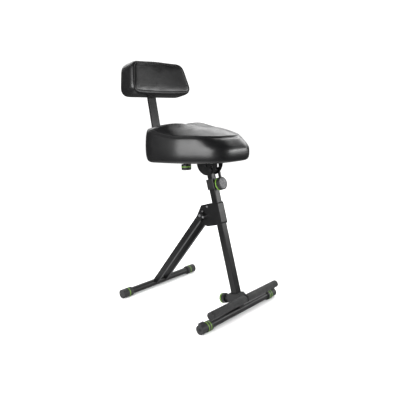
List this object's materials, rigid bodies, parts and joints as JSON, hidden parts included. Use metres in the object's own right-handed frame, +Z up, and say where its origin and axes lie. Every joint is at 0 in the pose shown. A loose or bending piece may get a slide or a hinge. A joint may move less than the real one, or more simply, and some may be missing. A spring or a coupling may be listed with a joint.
{
  "type": "drum throne",
  "caption": "Tall folding musician's seat with a padded saddle, a backrest on a bent flat bar, a leaning telescopic post, rear legs, tilt bracket and a sliding footrest.",
  "frame": {"origin": "on the floor, under the middle of the stool's bounding box", "axes": "+Z up, +Y towards the backrest, +X towards the sitter's right, nose of the seat at -Y"},
  "size_m": [0.494, 0.5923, 1.034],
  "materials": {
    "frame_black": "satin",
    "rubber_black": "matte",
    "plastic_black": "matte",
    "plastic_grey": "matte",
    "ring_green": "gloss",
    "cover_black": "satin",
    "screw_black": "satin",
    "zinc_steel": "satin",
    "board_black": "matte"
  },
  "bodies": {
    "front_frame": {"front_foot_tube": "frame_black", "front_foot_sleeves": "rubber_black", "front_foot_rings": "ring_green", "front_tube_plugs": "plastic_black", "leveller_screws": "screw_black", "main_post": "frame_black", "hinge_bracket": "frame_black", "bracket_bolts": "zinc_steel", "bracket_spacers": "zinc_steel", "pivot_bolt": "zinc_steel", "leg_stop_bolt": "zinc_steel", "pivot_washers": "plastic_black", "height_collar": "plastic_black"},
    "left_leveller": {"leveller_left": "rubber_black"},
    "right_leveller": {"leveller_right": "rubber_black"},
    "rear_leg_frame": {"rear_leg_left": "frame_black", "rear_leg_right": "frame_black", "rear_leg_lugs": "frame_black", "rear_foot_tube": "frame_black", "rear_foot_caps": "rubber_black", "rear_foot_rings": "ring_green"},
    "footrest": {"footrest_block": "plastic_black", "footrest_bar": "frame_black", "footrest_grip_left": "rubber_black", "footrest_grip_right": "rubber_black", "footrest_end_plugs": "plastic_black", "footrest_bar_screw": "screw_black"},
    "footrest_clamp": {"footrest_knob": "plastic_black", "footrest_knob_ring": "ring_green", "footrest_knob_screw": "zinc_steel"},
    "height_clamp": {"height_knob": "plastic_black", "height_knob_ring": "ring_green", "height_knob_screw": "zinc_steel", "height_knob_face": "plastic_grey"},
    "seat_mast": {"inner_post": "frame_black", "inner_post_glide": "plastic_black", "post_head": "frame_black", "tilt_clamp_bolt": "screw_black"},
    "tilt_clamp": {"tilt_lever": "frame_black"},
    "seat": {"tilt_plate_left": "frame_black", "tilt_plate_right": "frame_black", "tilt_pivot_bolt": "screw_black", "seat_mount_plate": "frame_black", "seat_board": "board_black", "seat_screws": "zinc_steel", "seat_cushion": "cover_black", "backrest_guide": "frame_black"},
    "back": {"backrest_bar": "frame_black", "backrest_board": "board_black", "backrest_cushion": "cover_black", "backrest_bolts": "zinc_steel"},
    "back_clamp": {"backrest_knob": "plastic_black", "backrest_knob_ring": "ring_green", "backrest_knob_screw": "zinc_steel"}
  },
  "joints": [
    {"name": "leg_fold", "type": "hinge", "parent": "front_frame", "child": "rear_leg_frame", "pos_m": [0, -0.06616, 0.39128], "axis": [-1, 0, 0], "range_deg": [0, 54]},
    {"name": "footrest_height", "type": "slide", "parent": "front_frame", "child": "footrest", "axis": [0, 0.2807, 0.9598], "range_m": [0, 0.25]},
    {"name": "footrest_knob_turn", "type": "hinge", "parent": "footrest", "child": "footrest_clamp", "pos_m": [0, -0.20399, 0.05391], "axis": [0, 0.9598, -0.2807], "continuous": true},
    {"name": "height_knob_turn", "type": "hinge", "parent": "front_frame", "child": "height_clamp", "pos_m": [0, -0.12628, 0.52451], "axis": [0, -0.9598, 0.2807], "continuous": true},
    {"name": "seat_height", "type": "slide", "parent": "front_frame", "child": "seat_mast", "axis": [0, 0.2807, 0.9598], "range_m": [0, 0.25]},
    {"name": "tilt_lever_turn", "type": "hinge", "parent": "seat_mast", "child": "tilt_clamp", "pos_m": [0, -0.11055, 0.58351], "axis": [1, 0, 0], "range_deg": [0, 75]},
    {"name": "seat_tilt", "type": "hinge", "parent": "seat_mast", "child": "seat", "pos_m": [0, -0.08275, 0.60034], "axis": [1, 0, 0], "range_deg": [0, 35]},
    {"name": "backrest_depth", "type": "slide", "parent": "seat", "child": "back", "axis": [0, 0.9986, -0.0523], "range_m": [-0.008, 0.06]},
    {"name": "backrest_knob_turn", "type": "hinge", "parent": "seat", "child": "back_clamp", "pos_m": [0, 0.0479, 0.5978], "axis": [0, -0.0523, -0.9986], "continuous": true},
    {"name": "left_leveller_turn", "type": "hinge", "parent": "front_frame", "child": "left_leveller", "pos_m": [-0.23, -0.25283, 0.0187], "axis": [1, 0, 0], "range_deg": [0, 180]},
    {"name": "right_leveller_turn", "type": "hinge", "parent": "front_frame", "child": "right_leveller", "pos_m": [0.23, -0.25283, 0.0187], "axis": [1, 0, 0], "range_deg": [0, 180]}
  ]
}
